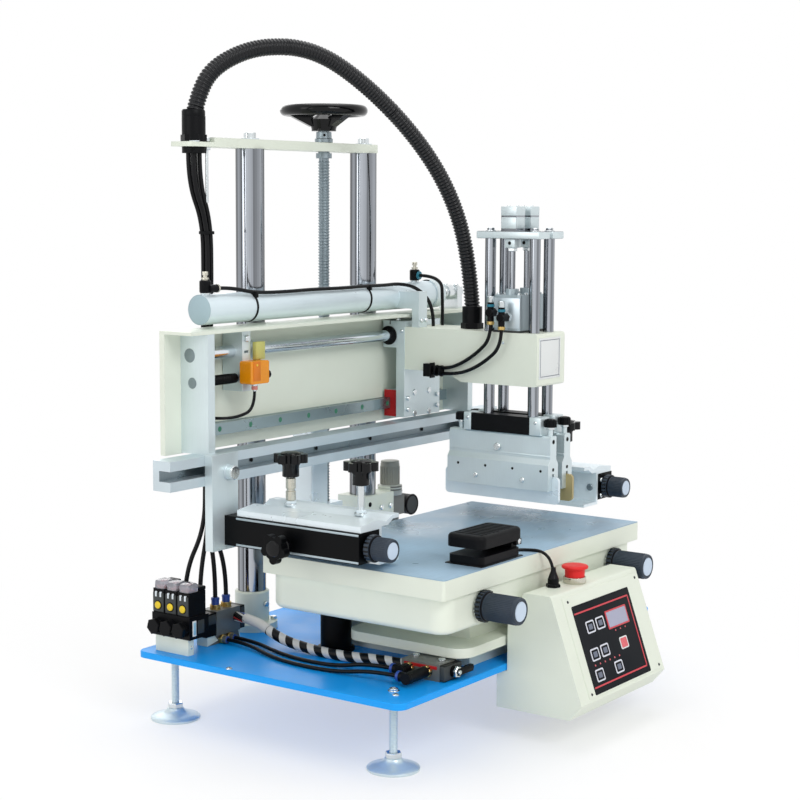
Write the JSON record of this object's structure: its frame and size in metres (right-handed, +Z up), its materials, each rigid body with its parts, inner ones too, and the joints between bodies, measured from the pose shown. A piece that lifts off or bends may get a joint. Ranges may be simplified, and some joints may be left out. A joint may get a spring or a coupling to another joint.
{
  "type": "flatbed screen printing machine",
  "caption": "Bench-top flatbed screen printer: a head on two columns strokes a squeegee over a flat table, with frame clamps and a control box.",
  "frame": {"origin": "on the floor, at the middle of the machine's box", "axes": "+X along the print stroke to the operator's right, -Y towards the operator, +Z up"},
  "size_m": [0.728, 0.5455, 0.875],
  "materials": {
    "blue_paint": "semi-gloss blue paint",
    "cream_paint": "fine cream powder coat",
    "polished_steel": "polished steel",
    "chrome": "hard chrome",
    "steel": "oiled ground steel",
    "aluminium": "matt anodised aluminium",
    "black_gloss": "black gloss moulding",
    "black_plastic": "black moulded plastic",
    "black_anodised": "black anodised aluminium",
    "red_plastic": "red moulded plastic",
    "orange_plastic": "orange moulded plastic",
    "grey_plastic": "grey moulded plastic",
    "rubber": "polyurethane squeegee rubber"
  },
  "bodies": {
    "root": {"base_plate": "blue_paint", "levelling_feet": "polished_steel", "column_sockets": "cream_paint", "columns": "chrome", "top_plate": "cream_paint", "table_pedestal": "cream_paint", "control_box": "cream_paint", "valves": "black_plastic", "regulator": "grey_plastic", "flow_block": "grey_plastic", "valve_hoses": "black_plastic", "base_hoses": "black_plastic", "pedal_cord": "black_plastic", "conduit_fixed": "black_plastic"},
    "lift": {"lift_cylinder": "aluminium", "conduit_middle": "black_plastic"},
    "screw": {"lead_screw": "steel", "handwheel": "black_gloss"},
    "head": {"head_beam": "cream_paint", "column_sleeves": "cream_paint", "end_plates": "aluminium", "guide_rod": "chrome", "linear_rail": "steel", "crossbar": "aluminium", "arm_brackets": "aluminium", "left_frame_arm": "black_anodised", "right_frame_arm": "black_anodised", "stroke_rod": "polished_steel", "stop_bracket": "aluminium", "proximity_sensor": "orange_plastic", "sensor_cable": "black_plastic", "conduit_travel": "black_plastic"},
    "carriage": {"rail_carriage": "red_plastic", "carriage_plate": "aluminium", "print_arm": "cream_paint", "stroke_cylinder": "aluminium", "lift_cylinders": "aluminium", "carriage_hoses": "black_plastic"},
    "squeegee": {"squeegee_lift_frame": "chrome", "squeegee_holder": "aluminium", "squeegee_blade": "rubber"},
    "flood_bar": {"flood_bar_lift_frame": "chrome", "flood_bar_holder": "aluminium", "flood_bar_blade": "aluminium"},
    "left_clamp": {"left_frame_clamp": "aluminium"},
    "right_clamp": {"right_frame_clamp": "aluminium"},
    "left_dial": {"left_arm_knob": "black_plastic"},
    "right_dial": {"right_arm_knob": "black_plastic"},
    "left_back_screw": {"left_back_clamp_screw": "black_plastic"},
    "left_front_screw": {"left_front_clamp_screw": "black_plastic"},
    "right_back_screw": {"right_back_clamp_screw": "black_plastic"},
    "right_front_screw": {"right_front_clamp_screw": "black_plastic"},
    "table": {"table_top": "cream_paint", "table_box": "cream_paint", "pedal_base": "black_plastic"},
    "left_table_dial": {"left_table_knob": "black_plastic"},
    "right_table_dial": {"right_table_knob": "black_plastic"},
    "stop": {"stop_button": "red_plastic"},
    "pedal": {"pedal_cover": "black_plastic"}
  },
  "joints": [
    {"name": "height_set", "type": "slide", "parent": "root", "child": "lift", "axis": [0, 0, 1], "range_m": [-0.002, 0.03], "deforming": ["conduit_fixed"]},
    {"name": "handwheel_turn", "type": "hinge", "parent": "root", "child": "screw", "pos_m": [0.033, 0.212, 0.79], "axis": [0, 0, 1], "range_deg": [-180, 2700]},
    {"name": "head_lift", "type": "slide", "parent": "lift", "child": "head", "axis": [0, 0, 1], "range_m": [0, 0.06], "deforming": ["conduit_middle"]},
    {"name": "print_stroke", "type": "slide", "parent": "head", "child": "carriage", "axis": [1, 0, 0], "range_m": [-0.27, 0], "deforming": ["conduit_travel"]},
    {"name": "squeegee_lift", "type": "slide", "parent": "carriage", "child": "squeegee", "axis": [0, 0, 1], "range_m": [-0.018, 0]},
    {"name": "flood_bar_lift", "type": "slide", "parent": "carriage", "child": "flood_bar", "axis": [0, 0, 1], "range_m": [-0.018, 0]},
    {"name": "table_shift", "type": "slide", "parent": "root", "child": "table", "axis": [0, 1, 0], "range_m": [-0.004, 0.004], "deforming": ["pedal_cord"]},
    {"name": "stop_press", "type": "slide", "parent": "root", "child": "stop", "axis": [0, 0, -1], "range_m": [0, 0.004], "stiffness_N_per_m": 800},
    {"name": "pedal_press", "type": "hinge", "parent": "table", "child": "pedal", "pos_m": [-0.072, -0.15, 0.25], "axis": [0, 1, 0], "range_deg": [-5, 0], "stiffness_Nm_per_rad": 4},
    {"name": "left_clamp_shift", "type": "slide", "parent": "head", "child": "left_clamp", "axis": [0, 1, 0], "range_m": [-0.004, 0.004]},
    {"name": "left_dial_turn", "type": "hinge", "parent": "head", "child": "left_dial", "pos_m": [-0.26, -0.1, 0.261], "axis": [0, -1, 0], "range_deg": [-720, 720]},
    {"name": "left_back_screw_turn", "type": "hinge", "parent": "left_clamp", "child": "left_back_screw", "pos_m": [-0.219, 0.067, 0.35], "axis": [0, 0, 1], "range_deg": [-180, 180]},
    {"name": "left_front_screw_turn", "type": "hinge", "parent": "left_clamp", "child": "left_front_screw", "pos_m": [-0.219, -0.042, 0.35], "axis": [0, 0, 1], "range_deg": [-180, 180]},
    {"name": "right_clamp_shift", "type": "slide", "parent": "head", "child": "right_clamp", "axis": [0, 1, 0], "range_m": [-0.004, 0.004]},
    {"name": "right_dial_turn", "type": "hinge", "parent": "head", "child": "right_dial", "pos_m": [0.309, -0.1, 0.261], "axis": [0, -1, 0], "range_deg": [-720, 720]},
    {"name": "right_back_screw_turn", "type": "hinge", "parent": "right_clamp", "child": "right_back_screw", "pos_m": [0.268, 0.067, 0.35], "axis": [0, 0, 1], "range_deg": [-180, 180]},
    {"name": "right_front_screw_turn", "type": "hinge", "parent": "right_clamp", "child": "right_front_screw", "pos_m": [0.268, -0.042, 0.35], "axis": [0, 0, 1], "range_deg": [-180, 180]},
    {"name": "left_table_dial_turn", "type": "hinge", "parent": "table", "child": "left_table_dial", "pos_m": [-0.16, -0.2, 0.186], "axis": [0, -1, 0], "range_deg": [-720, 720]},
    {"name": "right_table_dial_turn", "type": "hinge", "parent": "table", "child": "right_table_dial", "pos_m": [0.16, -0.2, 0.186], "axis": [0, -1, 0], "range_deg": [-720, 720]}
  ],
  "couplings": [
    {"joint": "handwheel_turn", "follows": "height_set", "rad_per_m": 1570.8},
    {"joint": "left_dial_turn", "follows": "left_clamp_shift", "rad_per_m": 3141.6},
    {"joint": "right_dial_turn", "follows": "right_clamp_shift", "rad_per_m": 3141.6},
    {"joint": "left_table_dial_turn", "follows": "table_shift", "rad_per_m": 3141.6},
    {"joint": "right_table_dial_turn", "follows": "table_shift", "rad_per_m": 3141.6}
  ]
}
